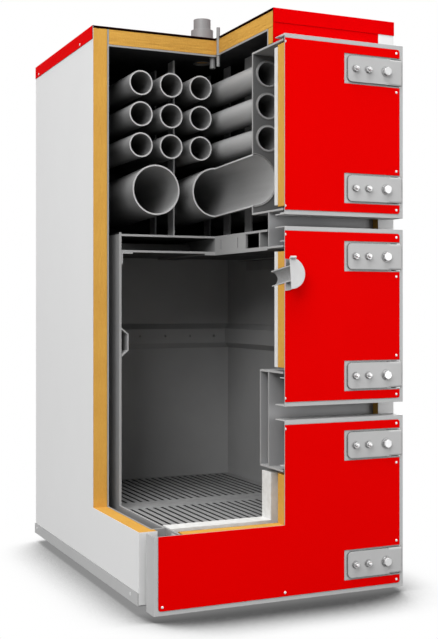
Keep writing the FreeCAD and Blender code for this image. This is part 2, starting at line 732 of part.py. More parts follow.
def hinge_lug(z):
    """Lug welded to the jacket's front plate, with the fixed pin of one hinge."""
    lug_radius = PIN_RADIUS + LUG_WALL
    foot_right = return_edge - 1
    foot_left = collar_half + LUG_FOOT_GAP
    outline = [(hinge_x - lug_radius, HINGE_Y), (hinge_x + lug_radius - 2, HINGE_Y + PIN_RADIUS),
               (foot_right, BODY_FRONT - 4), (foot_right, SHELL_FRONT),
               (foot_left, SHELL_FRONT), (foot_left, SHELL_FRONT - LUG_ARM)]
    points = [Vector(x, y, z - lug_half) for x, y in outline + outline[:1]]
    arm = Part.Face(Part.makePolygon(points)).extrude(Vector(0, 0, 2 * lug_half))
    eye = top_hole(lug_radius, hinge_x, HINGE_Y, z - lug_half, z + lug_half)
    reach = KNUCKLE_HALF + 1
    pin = top_hole(PIN_RADIUS, hinge_x, HINGE_Y, z - reach - PIN_HEAD, z + reach)
    head = top_hole(PIN_RADIUS + PIN_HEAD_WIDER, hinge_x, HINGE_Y, z + reach, z + reach + PIN_HEAD)
    return joined(arm, eye, pin, head)


# ---- doors ----------------------------------------------------------------------------
def door_tray(door, opening):
    """Folded tray, open at the back, with windows and notches for the hinges."""
    bottom, top = door
    block = box(-door_half, door_half, tray_front, DOOR_DEPTH, bottom, top)
    inside = box(-door_half + DOOR_SHEET, door_half - DOOR_SHEET, tray_inside, DOOR_DEPTH + 1,
                 bottom + DOOR_SHEET, top - DOOR_SHEET)
    tray = block.cut(inside)
    reach = collar_half + LIP_OFFSET
    low = opening[0] - FRONT_PLATE - LIP_OFFSET
    high = opening[1] + FRONT_PLATE + LIP_OFFSET
    low = max(low, bottom + DOOR_SHEET)
    high = min(high, top - DOOR_SHEET)
    lip = box(-reach, reach, tray_inside, LIP_DEPTH, low, high)
    lip = lip.cut(box(-reach + LIP_SHEET, reach - LIP_SHEET, tray_inside - 1, LIP_DEPTH + 1,
                      low + LIP_SHEET, high - LIP_SHEET))
    tray = joined(tray, lip)
    for z in hinge_pair(door):
        tray = tray.cut(box(knuckle_left - WINDOW_GAP, knuckle_right + WINDOW_GAP, tray_front - 1,
                            tray_inside + 1, z - KNUCKLE_HALF - WINDOW_GAP,
                            z + KNUCKLE_HALF + WINDOW_GAP))
        notch = lug_half + NOTCH_ROOM
        tray = tray.cut(box(knuckle_right + 1, door_half + 1, NOTCH_FRONT, DOOR_DEPTH + 1,
                            z - notch, z + notch))
    return tray


def door_skin(door):
    """Painted sheet on the tray, cut back at the hinges."""
    half = door_half - SKIN_BORDER
    skin = rounded_plate(-half, half, 0, SKIN_SHEET, door[0] + SKIN_BORDER, door[1] - SKIN_BORDER,
                         SKIN_CORNER)
    for z in hinge_pair(door):
        recess = KNUCKLE_HALF + RECESS_EDGE
        skin = skin.cut(box(strap_left - RECESS_SIDE, half + 1, -1, SKIN_SHEET + 1, z - recess,
                            z + recess))
    return skin


def door_fill(opening, front, back, gap):
    half = opening_half - BOARD_SIDE_GAP
    return box(-half, half, front, back, opening[0] + gap, opening[1] - gap)


def hinge_strap(z):
    """Flat leaf whose end is bent into a knuckle that turns on the body's pin."""
    leaf = box(strap_left, knuckle_left + 1, strap_front, tray_front, z - STRAP_HALF, z + STRAP_HALF)
    corner = [e for e in leaf.Edges
              if abs(e.tangentAt(e.FirstParameter).y) > 0.99 and e.BoundBox.XMax < strap_left + 1]
    leaf = leaf.makeFillet(STRAP_CORNER, corner)
    block = box(knuckle_left, knuckle_right, strap_front, knuckle_back, z - KNUCKLE_HALF,
                z + KNUCKLE_HALF)
    bends = [e for e in block.Edges
             if abs(e.tangentAt(e.FirstParameter).x) > 0.99 and e.BoundBox.YMax < strap_front + 1]
    block = block.makeFillet(KNUCKLE_BEND, bends)
    inner = KNUCKLE_HALF - STRAP_THICK
    block = block.cut(box(knuckle_left - 1, knuckle_right + 1, tray_front, knuckle_back + 1,
                          z - inner, z + inner))
    strap = joined(leaf, block)
    return strap.cut(top_hole(PIN_RADIUS + PIN_CLEARANCE, hinge_x, HINGE_Y, z - KNUCKLE_HALF - 1,
                              z + KNUCKLE_HALF + 1))


def inlet_axis_point(y):
    return Vector(0, y, INLET_Z - y * math.tan(math.radians(INLET_RISE)))


def inlet_bar(radius, front, back):
    return rod(radius, inlet_axis_point(front), inlet_axis_point(back))


def air_inlet():
    """Slanting tube through the fire door, with a ring against the skin."""
    tube = inlet_bar(INLET_TUBE / 2, INLET_FRONT, INLET_BACK)
    ring = rod(INLET_RING, Vector(0, -INLET_RING_THICK, INLET_Z), Vector(0, 0, INLET_Z))
    bore = inlet_bar(INLET_TUBE / 2 - INLET_WALL, INLET_FRONT - 1, INLET_BACK + 1)
    return opened(joined(tube, ring).cut(bore))


def inlet_cover():
    """Round cover at the mouth of the inlet, with a rolled grip at its top."""
    cover = inlet_bar(COVER_RADIUS, INLET_FRONT - COVER_THICK, INLET_FRONT)
    crown = inlet_axis_point(INLET_FRONT - COVER_THICK / 2)
    grip_z = crown.z + COVER_RADIUS
    grip = rod(COVER_GRIP, Vector(-COVER_GRIP_HALF, crown.y, grip_z),
               Vector(COVER_GRIP_HALF, crown.y, grip_z))
    return opened(joined(cover, grip))


# ---- nodes: the boiler body -----------------------------------------------------------
save("base_frame", base_frame())
save("side_rails", side_rail(-1), side_rail(1))
save("side_panel_left", side_panel(-1))
save("side_panel_right", side_panel(1))
save("back_panel", back_panel())
save("top_lid", top_lid())
save("front_fascia", front_fascia())
save("insulation_left", side_wool(-1))
save("insulation_right", side_wool(1))
save("insulation_back", back_wool())
save("insulation_top", top_wool())
save("bottom_plate", bottom_plate())
save("water_shell_left", shell_side(-1))
save("water_shell_right", shell_side(1))
save("water_shell_back", shell_back_plate())
save("water_shell_top", shell_top_plate())
save("water_shell_front", shell_front_plates())
save("chamber_wall_left", chamber_side(-1))
save("chamber_wall_right", chamber_side(1))
save("chamber_wall_back", chamber_back())
save("chamber_roof", chamber_roof())
save("reversal_box", reversal_box())
save("front_tube_plate", front_tube_plate())
save("rear_tube_plate", rear_tube_plate())
save("small_tubes", *small_tubes())
save("large_tubes", *large_tubes())
save("stay_bars", *stay_bars())
save("smoke_door_collar", smoke_collar())
save("fire_door_collar", fire_collar())
save("ash_door_collar", ash_collar())
save("water_box", *water_box())
save("refractory_sill", sill())
save("grates", *grates())
save("grate_ledges", grate_ledges())
save("air_duct", air_duct())
save("supply_pipe", supply_pipe())
save("sensor_pocket", sensor_pocket())
save("vent_nipple", vent_nipple())
save("flue_spigot", flue_spigot())
save("return_pipe", return_pipe())
save("hinge_lugs", *[hinge_lug(z) for z in hinge_levels()])

# ---- nodes: the three doors -----------------------------------------------------------
inlet_room = inlet_bar(INLET_TUBE / 2 + LOOSE_FIT, INLET_FRONT - 5, INLET_BACK + 20)
doors = {
    "smoke_door": (SMOKE_DOOR, SMOKE_OPENING, SMOKE_WOOL_GAP),
    "fire_door": (FIRE_DOOR, FIRE_OPENING, BOARD_GAP),
    "ash_door": (ASH_DOOR, ASH_OPENING, ASH_WOOL_GAP),
}
for name, (door, opening, wool_gap) in doors.items():
    pieces = {
        "tray": door_tray(door, opening),
        "skin": door_skin(door),
        "insulation": door_fill(opening, tray_inside, WOOL_BACK, wool_gap),
    }
    if name != "ash_door":
        pieces["board"] = door_fill(opening, WOOL_BACK, BOARD_BACK, BOARD_GAP)
    for piece, shape in pieces.items():
        if name == "fire_door":
            shape = shape.cut(inlet_room)
        save(name + "_" + piece, opened(shape))
    save(name + "_hinge_straps", *[hinge_strap(z) for z in hinge_pair(door)])
save("fire_door_air_inlet", air_inlet())
save("fire_door_inlet_cover", inlet_cover())
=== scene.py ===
import math

import bmesh
import bpy
import numpy as np
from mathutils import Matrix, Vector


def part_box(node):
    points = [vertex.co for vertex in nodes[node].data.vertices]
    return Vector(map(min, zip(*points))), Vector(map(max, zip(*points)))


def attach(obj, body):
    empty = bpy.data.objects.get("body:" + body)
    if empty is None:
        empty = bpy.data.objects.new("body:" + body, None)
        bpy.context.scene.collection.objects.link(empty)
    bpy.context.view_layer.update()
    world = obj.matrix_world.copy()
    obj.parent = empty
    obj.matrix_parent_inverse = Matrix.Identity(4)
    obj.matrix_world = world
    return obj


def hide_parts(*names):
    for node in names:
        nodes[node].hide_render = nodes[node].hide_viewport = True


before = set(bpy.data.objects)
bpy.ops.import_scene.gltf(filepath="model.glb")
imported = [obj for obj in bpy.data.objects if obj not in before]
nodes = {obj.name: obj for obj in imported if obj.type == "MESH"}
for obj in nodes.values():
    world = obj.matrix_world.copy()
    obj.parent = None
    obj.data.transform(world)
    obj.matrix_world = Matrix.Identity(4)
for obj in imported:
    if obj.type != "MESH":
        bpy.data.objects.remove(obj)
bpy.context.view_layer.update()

# ---- base frame -----------------------------------------------------------------------------
# Two skids and two cross bars of steel section under the boiler, welded into one frame.
# They are brushed with dark grey paint that is thin and scuffed at the edges; the lighter edges show
# both that scuffing and a painted highlight.


def add(tree, kind, values=None, **settings):
    """One shader node. Settings are its own properties. Values fill its sockets, by number or by
    name, with a number, a colour, or a link from another node's socket."""
    node = tree.nodes.new("ShaderNode" + kind)
    for key, value in settings.items():
        setattr(node, key, value)
    for key, value in (values or {}).items():
        if isinstance(value, bpy.types.NodeSocket):
            tree.links.new(value, node.inputs[key])
        else:
            node.inputs[key].default_value = value
    return node


def shader_group(name, inputs, outputs):
    """An empty node group. Its sockets are (label, type, starting value)."""
    tree = bpy.data.node_groups.new(name, "ShaderNodeTree")
    for side, sockets in (("INPUT", inputs), ("OUTPUT", outputs)):
        for label, kind, *start in sockets:
            socket = tree.interface.new_socket(label, in_out=side, socket_type="NodeSocket" + kind)
            if start:
                socket.default_value = start[0]
    given = tree.nodes.new("NodeGroupInput").outputs
    result = tree.nodes.new("NodeGroupOutput").inputs
    return tree, given, result


def stretched_noise(tree, given, detail):
    """Noise of the object coordinates times Stretch, with one patch about Size metres across."""
    place = add(tree, "TexCoord").outputs["Object"]
    drawn = add(tree, "VectorMath", {0: place, 1: given["Stretch"]}, operation="MULTIPLY").outputs[0]
    scale = add(tree, "Math", {0: 1.0, 1: given["Size"]}, operation="DIVIDE").outputs[0]
    return add(tree, "TexNoise", {"Vector": drawn, "Scale": scale, "Detail": detail}).outputs["Fac"]


def mottle_group():
    """Cloudy mix of two colours: the noise's middle third is widened to 0..1, and that mask times
    Amount goes from Color to Second."""
    tree, given, result = shader_group(
        "mottle",
        [("Color", "Color"), ("Second", "Color"), ("Size", "Float", 0.1), ("Amount", "Float", 0.5),
         ("Stretch", "Vector", (1, 1, 1))],
        [("Color", "Color"), ("Mask", "Float")])
    noise = stretched_noise(tree, given, 4.0)
    mask = add(tree, "MapRange", {0: noise, 1: 0.35, 2: 0.65}).outputs[0]
    share = add(tree, "Math", {0: mask, 1: given["Amount"]}, operation="MULTIPLY").outputs[0]
    mixed = add(tree, "Mix", {0: share, 6: given["Color"], 7: given["Second"]}, data_type="RGBA")
    tree.links.new(mixed.outputs[2], result["Color"])
    tree.links.new(mask, result["Mask"])
    return tree


def relief_group():
    """Fine relief of the noise, Depth metres high, on edges rounded by Radius. The edge mask is 0 on
    flat faces and grows where the rounded normal turns away from the true one; it is used to lighten
    edges, both as rubbing and as a painted highlight."""
    tree, given, result = shader_group(
        "relief",
        [("Size", "Float", 0.002), ("Depth", "Float", 0.00005), ("Stretch", "Vector", (1, 1, 1)),
         ("Radius", "Float", 0.0012)],
        [("Normal", "Vector"), ("Wear", "Float")])
    noise = stretched_noise(tree, given, 2.0)
    rounded = add(tree, "Bevel", {"Radius": given["Radius"]}, samples=4).outputs[0]
    bump = add(tree, "Bump", {"Distance": given["Depth"], "Height": noise, "Normal": rounded})
    true = add(tree, "NewGeometry").outputs["True Normal"]
    facing = add(tree, "VectorMath", {0: rounded, 1: true}, operation="DOT_PRODUCT").outputs["Value"]
    wear_and_highlight = add(tree, "MapRange", {0: facing, 1: 0.985, 2: 0.8}).outputs[0]
    tree.links.new(bump.outputs[0], result["Normal"])
    tree.links.new(wear_and_highlight, result["Wear"])
    return tree


def cut_group():
    """Masks by place. Sawn is 1 within 0.3 mm of the planes where the object is cut away. The tube
    box mask is 1 inside the box round the tubes, where plates are painted near black as shade."""
    tree, given, result = shader_group("cut", [], [("Sawn", "Float"), ("Water", "Float")])
    place = add(tree, "TexCoord").outputs["Object"]
    x, y, z = add(tree, "SeparateXYZ", {0: place}).outputs

    def test(operation, value, level, *margin):
        values = dict(enumerate((value, level, *margin)))
        return add(tree, "Math", values, operation=operation).outputs[0]

    def both(one, two):
        return test("MULTIPLY", one, two)

    near = 0.0003
    left, ahead = test("LESS_THAN", x, near), test("LESS_THAN", y, cut_back + near)
    across = both(test("COMPARE", y, cut_back, near), left)
    along = both(test("COMPARE", x, 0.0, near), ahead)
    level = both(test("COMPARE", z, cut_floor, near), both(left, ahead))
    sawn = test("MAXIMUM", test("MAXIMUM", across, along), level)
    wide = test("LESS_THAN", test("ABSOLUTE", x, 0.0), water_half + near)
    tall = both(test("GREATER_THAN", z, water_low - near),
                test("LESS_THAN", z, water_high + near))
    deep = both(test("GREATER_THAN", y, water_front), test("LESS_THAN", y, water_back + near))
    tree.links.new(sawn, result["Sawn"])
    tree.links.new(both(wide, both(tall, deep)), result["Water"])
    return tree


cut_back, cut_floor = -0.104176, 0.247   # the left front quarter ends at this Y and this Z
water_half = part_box("water_shell_right")[0].x
water_low, water_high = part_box("chamber_roof")[1].z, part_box("water_shell_top")[0].z
water_front, water_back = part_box("water_shell_top")[0].y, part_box("water_shell_back")[0].y
mottle = mottle_group()
relief = relief_group()
cut = cut_group()


def solid_finish(name, colour, second, patch, amount, rough, specular, metallic=0.0, grit=0.002,
                 depth=0.00004, stretch=(1, 1, 1), edge=None, edge_share=0.6, radius=0.0012,
                 sawn=None, tube_box_shade=None, tint=None, underside_shade=None, limit=-0.9, corner_shade=None,
                 reach=0.008):
    """Material of a painted, bare or cast surface: a mottled colour that turns to the edge colour
    on rounded edges, both as rubbing and as a painted highlight, roughness between two values by
    the same mottle, and a fine relief. Sawn is the colour of cut faces. The tube box shade is a
    painted shade on faces in the box round the tubes. The underside shade is a painted shade on
    faces whose normal's Z is below the limit. The corner shade is a painted shade, by ambient
    occlusion, in corners closer than the reach. A tint is for a paint whose gloss keeps its colour,
    and it is thrown on neighbours as a grey."""
    material = bpy.data.materials.new(name)
    material.use_nodes = True
    tree = material.node_tree
    shader = tree.nodes["Principled BSDF"]
    shader.inputs["Metallic"].default_value = metallic
    shader.inputs["Specular IOR Level"].default_value = specular
    cloud = add(tree, "Group", node_tree=mottle)
    fine = add(tree, "Group", node_tree=relief)
    for node, values in ((cloud, {"Color": (*colour, 1), "Second": (*second, 1), "Size": patch,
                                  "Amount": amount, "Stretch": stretch}),
                         (fine, {"Size": grit, "Depth": depth, "Stretch": stretch,
                                 "Radius": radius})):
        for label, value in values.items():
            node.inputs[label].default_value = value
    # Edges turn to the lighter edge colour: partly rubbing, partly a painted highlight.
    rubbed_and_highlit = add(tree, "Math", {0: fine.outputs["Wear"], 1: edge_share}, operation="MULTIPLY")
    base = add(tree, "Mix", {0: rubbed_and_highlit.outputs[0], 6: cloud.outputs["Color"],
                             7: (*(edge or colour), 1)}, data_type="RGBA")
    gloss = add(tree, "MapRange", {0: cloud.outputs["Mask"], 3: rough[0], 4: rough[1]})
    masks = add(tree, "Group", node_tree=cut)
    # Underside shade: faces turned below the limit are painted dark, as shade.
    if underside_shade:
        facing = add(tree, "NewGeometry").outputs["True Normal"]
        drop = add(tree, "SeparateXYZ", {0: facing}).outputs["Z"]
        down = add(tree, "Math", {0: drop, 1: limit}, operation="LESS_THAN").outputs[0]
        base = add(tree, "Mix", {0: down, 6: base.outputs[2], 7: (*underside_shade, 1)}, data_type="RGBA")
    # Corner shade: ambient occlusion within the reach paints shade into corners and between parts.
    if corner_shade:
        open_sky = add(tree, "AmbientOcclusion", {"Distance": reach}, samples=6).outputs["AO"]
        painted_corner_shade = add(tree, "MapRange", {0: open_sky, 1: 0.85, 2: 0.45}).outputs[0]
        base = add(tree, "Mix", {0: painted_corner_shade, 6: base.outputs[2], 7: (*corner_shade, 1)},
                   data_type="RGBA")
    # The tube box mask paints plates round the tubes near black as shade; sawn colours the cut
    # faces.
    for label, shade in (("Water", tube_box_shade), ("Sawn", sawn)):
        if shade:
            base = add(tree, "Mix", {0: masks.outputs[label], 6: base.outputs[2], 7: (*shade, 1)},
                       data_type="RGBA")
    if tint:
        shader.inputs["Specular Tint"].default_value = (*tint, 1)
        thrown = add(tree, "LightPath").outputs["Is Diffuse Ray"]
        thrown_grey = (0.3, 0.24, 0.24, 1)
        base = add(tree, "Mix", {0: thrown, 6: base.outputs[2], 7: thrown_grey},
                   data_type="RGBA")
    tree.links.new(base.outputs[2], shader.inputs["Base Color"])
    tree.links.new(gloss.outputs[0], shader.inputs["Roughness"])
    tree.links.new(fine.outputs["Normal"], shader.inputs["Normal"])
    return material


def give(material, *names):
    """Puts a material on the slots of CAD nodes."""
    for name in names:
        for slot in nodes[name].material_slots:
            slot.material = material


skid_paint = solid_finish("skid_paint", (0.09, 0.09, 0.095), (0.06, 0.06, 0.065), 0.12, 0.7,
                          (0.5, 0.7), 0.3, edge=(0.2, 0.19, 0.18))
give(skid_paint, "base_frame")

# ---- water jacket ---------------------------------------------------------------------------
# Outer plates of the pressure body, 5 and 6 mm hot rolled steel with grey mill scale, which is
# blotchy and a little streaked along the plate. They are welded along all their edges.
# Plates in the box round the tubes are painted near black as shade; sawn plate is the colour of cut
# faces.
tube_box_shade_colour, sawn_plate = (0.02, 0.02, 0.021), (0.34, 0.34, 0.34)
jacket_plate = solid_finish("jacket_plate", (0.34, 0.34, 0.345), (0.27, 0.27, 0.275), 0.16, 0.6,
                            (0.45, 0.65), 0.25, grit=0.0025, depth=0.00006,
                            stretch=(1, 1, 0.4), edge=(0.5, 0.5, 0.5), sawn=sawn_plate,
                            tube_box_shade=tube_box_shade_colour)
give(jacket_plate, "bottom_plate", "water_shell_left", "water_shell_right", "water_shell_back",
     "water_shell_top", "water_shell_front", "water_box")

# ---- fire chamber ---------------------------------------------------------------------------
# Chamber walls of 8 mm boiler plate, the flat water box that roofs the fire, and the upright
# reversal box behind it. The plate is bare and dull, and the roof plate is darker than the walls.
# Faces in the box round the tubes are painted near black as shade, and so is the roof's underside.
chamber_plate = solid_finish("chamber_plate", (0.37, 0.37, 0.37), (0.32, 0.32, 0.32), 0.22, 0.6,
                             (0.55, 0.8), 0.2, grit=0.003, depth=0.00008,
                             edge=(0.45, 0.45, 0.45), sawn=sawn_plate, tube_box_shade=tube_box_shade_colour)
give(chamber_plate, "chamber_wall_left", "chamber_wall_right", "chamber_wall_back",
     "reversal_box")
# The roof plate's downward faces are painted near black as shade.
roof_plate = solid_finish("roof_plate", (0.27, 0.27, 0.27), (0.2, 0.2, 0.2), 0.14, 0.6,
                          (0.5, 0.7), 0.25, grit=0.003, depth=0.00006,
                          edge=(0.5, 0.5, 0.5), sawn=sawn_plate, tube_box_shade=tube_box_shade_colour,
                          underside_shade=(0.035, 0.035, 0.035))
give(roof_plate, "chamber_roof")

# ---- tubes, tube plates and stays -----------------------------------------------------------
# Seamless drawn boiler tubes, faintly scored along their length, in plates of 8 mm. Flat stay
# bars on edge tie the roof to the shell's top between the tubes.
# Ambient occlusion paints shade along the tubes, darker deep between them.
tube_steel = solid_finish("tube_steel", (0.4, 0.4, 0.4), (0.33, 0.33, 0.33), 0.05, 0.6,
                          (0.4, 0.55), 0.3, grit=0.0015, depth=0.00005,
                          stretch=(1, 0.06, 1), edge=(0.55, 0.55, 0.55), radius=0.001,
                          corner_shade=(0.1, 0.1, 0.1), reach=0.07, sawn=(0.52, 0.52, 0.52))
give(tube_steel, "small_tubes", "large_tubes")
plate_steel = solid_finish("plate_steel", (0.13, 0.13, 0.13), (0.105, 0.105, 0.105), 0.1, 0.6,
                           (0.45, 0.65), 0.25, grit=0.0025, depth=0.00005,
                           edge=(0.5, 0.5, 0.5), sawn=sawn_plate)
give(plate_steel, "front_tube_plate")
give(chamber_plate, "rear_tube_plate")

# ---- weld beads -----------------------------------------------------------------------------
# Rippled fillet welds round the tubes' front ends, round the pipe that leaves the shell, and
# round the nipples under its top. They are laid by hand, one ripple every few millimetres.


def grid_quads(rows, columns, round_rows=False, round_columns=False):
    """Corner numbers of the quads of a grid of points, closed on itself where asked."""
    index = np.arange(rows * columns).reshape(rows, columns)
    if round_rows:
        index = np.vstack([index, index[:1]])
    if round_columns:
        index = np.hstack([index, index[:, :1]])
    return np.stack([index[:-1, :-1], index[1:, :-1], index[1:, 1:], index[:-1, 1:]],
                    -1).reshape(-1, 4).tolist()


def build(name, shells, material, body, crease=40):
    """One piece from shells of (points, faces): put into a mesh, doubles merged, cut ends closed,
    normals turned outwards, and shaded smooth except across edges sharper than the crease."""
    points, faces, start = [], [], 0
    for shell_points, shell_faces in shells:
        shell_points = np.asarray(shell_points, float).reshape(-1, 3)
        points.append(shell_points)
        faces += [[start + corner for corner in face] for face in shell_faces]
        start += len(shell_points)
    mesh = bpy.data.meshes.new(name)
    mesh.from_pydata(np.vstack(points).tolist(), [], faces)
    work = bmesh.new()
    work.from_mesh(mesh)
    bmesh.ops.remove_doubles(work, verts=work.verts, dist=1e-6)
    bmesh.ops.dissolve_degenerate(work, edges=work.edges, dist=1e-6)
    open_edges = [edge for edge in work.edges if edge.is_boundary]
    if open_edges:
        bmesh.ops.holes_fill(work, edges=open_edges, sides=0)
    bmesh.ops.recalc_face_normals(work, faces=work.faces)
    work.to_mesh(mesh)
    work.free()
    mesh.shade_smooth()
    mesh.set_sharp_from_angle(angle=math.radians(crease))
    mesh.materials.append(material)
    piece = bpy.data.objects.new(name, mesh)
    bpy.context.scene.collection.objects.link(piece)
    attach(piece, body)
    return piece


def ring_bead(centre, ring, wire, across, along, start=0.0, sweep=2 * math.pi):
    """Bead round a circle in the plane of across and along. Point = centre + (ring + w cos b)
    (across cos a + along sin a) + w sin b out, where the wire w swells by a fifth at each ripple."""
    across, along, centre = (np.array(v, float) for v in (across, along, centre))
    out = np.cross(across, along)
    steps = max(16, int(ring * sweep / 0.002))
    full = sweep > 6.28
    a = start + np.linspace(0, sweep, steps, endpoint=not full)[:, None, None]
    b = np.linspace(0, 2 * math.pi, 8, endpoint=False)[None, :, None]
    w = wire * (1 + 0.2 * np.abs(np.sin(a * ring / 0.004 * math.pi / 2)))
    points = (centre + (ring + w * np.cos(b)) * (across * np.cos(a) + along * np.sin(a))
              + w * np.sin(b) * out)
    return points, grid_quads(steps, 8, full, True)


plate_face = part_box("front_tube_plate")[0].y
small_columns, small_rows = (0.054, 0.162, 0.27), (1.651, 1.5475, 1.444)
welds = [ring_bead((x, plate_face, z), 0.0420, 0.0018, (1, 0, 0), (0, 0, 1))
         for x in small_columns for z in small_rows]
large_level, large_pitch, large_radius, large_wire = 1.308, 0.216, 0.0842, 0.0022
welds.append(ring_bead((large_pitch, plate_face, large_level), large_radius, large_wire,
                       (1, 0, 0), (0, 0, 1)))
welds.append(ring_bead((0.0, plate_face, large_level), large_radius, large_wire,
                       (1, 0, 0), (0, 0, 1),
                       -math.pi / 2, math.pi))
shell_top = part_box("water_shell_top")[1].z
supply_low, supply_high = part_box("supply_pipe")
supply_y = (supply_low.y + supply_high.y) / 2
plate_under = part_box("vent_nipple")[1].z
nipple_low, nipple_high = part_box("vent_nipple")
pocket_low, pocket_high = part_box("sensor_pocket")
welds.append(ring_bead((0, supply_y, plate_under), 0.0312, 0.0018, (1, 0, 0), (0, 1, 0)))
for low, high in ((nipple_low, nipple_high), (pocket_low, pocket_high)):
    welds.append(ring_bead(((low.x + high.x) / 2, (low.y + high.y) / 2, plate_under),
                           (high.x - low.x) / 2 + 0.0012, 0.0015, (1, 0, 0), (0, 1, 0)))
weld_steel = solid_finish("weld_steel", (0.3, 0.3, 0.3), (0.22, 0.21, 0.2), 0.01, 0.7, (0.35, 0.5),
                          0.4, metallic=0.4, grit=0.001, depth=0.00005)
build("weld_beads", welds, weld_steel, "boiler", crease=60)

# ---- collars and pipe connections -----------------------------------------------------------
# Frames of 6 mm plate round the door openings, and the flow, return and flue connections with
# the sensor pocket and vent nipple. The pipes are plain drawn steel with a light oxide skin.
collar_plate = solid_finish("collar_plate", (0.36, 0.36, 0.36), (0.3, 0.3, 0.3), 0.12, 0.6,
                            (0.45, 0.6), 0.25, grit=0.0025, depth=0.00005,
                            edge=(0.55, 0.55, 0.55), sawn=(0.4, 0.4, 0.4))
give(collar_plate, "smoke_door_collar", "fire_door_collar", "ash_door_collar")
stay_steel = solid_finish("stay_steel", (0.6, 0.6, 0.6), (0.52, 0.52, 0.52), 0.05, 0.6,
                          (0.45, 0.6), 0.25, grit=0.002, depth=0.00004,
                          edge=(0.65, 0.65, 0.65), sawn=(0.6, 0.6, 0.6))
give(stay_steel, "stay_bars")
pipe_steel = solid_finish("pipe_steel", (0.3, 0.3, 0.3), (0.25, 0.25, 0.25), 0.04, 0.5,
                          (0.4, 0.55), 0.35, metallic=0.2, grit=0.0015, depth=0.00004,
                          stretch=(1, 1, 0.1), edge=(0.6, 0.6, 0.6))
give(pipe_steel, "supply_pipe", "return_pipe", "sensor_pocket", "vent_nipple", "flue_spigot")

# ---- air duct, grate and sill ---------------------------------------------------------------
# The secondary air channel is folded 5 mm plate on the chamber walls. The grates are grey cast
# iron with a sandy skin, on flat bars. The sill is a cast refractory brick, white and chalky.
give(chamber_plate, "air_duct")
# Every face of the grates except the upward ones is painted dark as shade.
grate_iron = solid_finish("grate_iron", (0.33, 0.33, 0.33), (0.27, 0.27, 0.27), 0.03, 0.7,
                          (0.6, 0.8), 0.2, grit=0.0018, depth=0.0002,
                          edge=(0.42, 0.42, 0.42), underside_shade=(0.06, 0.06, 0.06), limit=0.5)
give(grate_iron, "grates", "grate_ledges")
sill_brick = solid_finish("sill_brick", (0.74, 0.74, 0.73), (0.62, 0.62, 0.6), 0.02, 0.7,
                          (0.85, 0.95), 0.15, grit=0.0012, depth=0.00025, radius=0.002,
                          edge=(0.78, 0.78, 0.77))
give(sill_brick, "refractory_sill")

# ---- mineral wool ---------------------------------------------------------------------------
# Batts of yellow mineral wool, pressed round the shell and into the doors, with raw cut edges.
# The fibres lie in layers along the batt, so a cut edge is streaked and a little uneven.


def wool_batt(outline, near, far, axis, shift=0.0, step=0.007, seed=1):
    """Batt between two flat faces. First parameter: the outline walked round in steps. Second:
    the way across the thickness, which steps in by a quarter circle at both faces. Each point
    moves in along the outline's mitre by a wavy amount, quick across the layers and slow along
    them. Shift moves the far face's outline points marked with a third number."""
    corners = np.array([point[:2] for point in outline], float)
    moves = np.array([point[2] if len(point) > 2 else 0.0 for point in outline])
    before, after = np.roll(corners, 1, 0), np.roll(corners, -1, 0)
    x, y = corners[:, 0], corners[:, 1]
    turn = np.sign(np.sum(x * after[:, 1] - after[:, 0] * y))
    unit = lambda v: v / np.linalg.norm(v, axis=1, keepdims=True)
    inward = lambda v: turn * np.stack([-v[:, 1], v[:, 0]], 1)
    one, two = inward(unit(corners - before)), inward(unit(after - corners))
    mitre = (one + two) / np.maximum(1 + np.sum(one * two, 1, keepdims=True), 0.3)
    counts = np.maximum(1, np.round(np.linalg.norm(after - corners, axis=1) / step)).astype(int)
    share = np.concatenate([np.arange(n) / n for n in counts])[:, None]
    here = np.repeat(np.arange(len(corners)), counts)
    there = (here + 1) % len(corners)
    base = corners[here] * (1 - share) + corners[there] * share
    inset = mitre[here] * (1 - share) + mitre[there] * share
    moved = moves[here] * (1 - share[:, 0]) + moves[there] * share[:, 0]
    walked = np.cumsum(np.linalg.norm(np.roll(base, -1, 0) - base, axis=1))
    thick, lip = far - near, 0.0025
    angle = np.radians([0, 35, 65, 90])
    inner = np.arange(lip, thick - lip, 0.003)[1:]
    depth = np.concatenate([lip * (1 - np.cos(angle)), inner,
                            thick - lip * (1 - np.cos(angle[::-1]))])
    step_in = np.concatenate([lip * (1 - np.sin(angle)), inner * 0,
                              lip * (1 - np.sin(angle[::-1]))])
    random = np.random.default_rng(seed)
    phase = random.uniform(0, 2 * math.pi, (2, len(depth)))
    wave = 0.5 + 0.25 * (np.sin(walked[:, None] * 95 + phase[0])
                         + np.sin(walked[:, None] * 31 + phase[1]))
    wave *= random.uniform(0.3, 1.0, len(depth)) * 0.0016 * (step_in == 0)
    flat = base[:, None, :] + inset[:, None, :] * (step_in + wave)[..., None]
    flat[..., 1] += moved[:, None] * shift * depth / thick
    across = np.broadcast_to(near + depth, flat.shape[:2])
    points = np.stack(np.insert(list(np.moveaxis(flat, -1, 0)), axis, across, 0), -1)
    rows, columns = flat.shape[:2]
    faces = grid_quads(rows, columns, True)
    faces += [list(range(0, rows * columns, columns)),
              list(range(columns - 1, rows * columns, columns))[::-1]]
    return points, faces


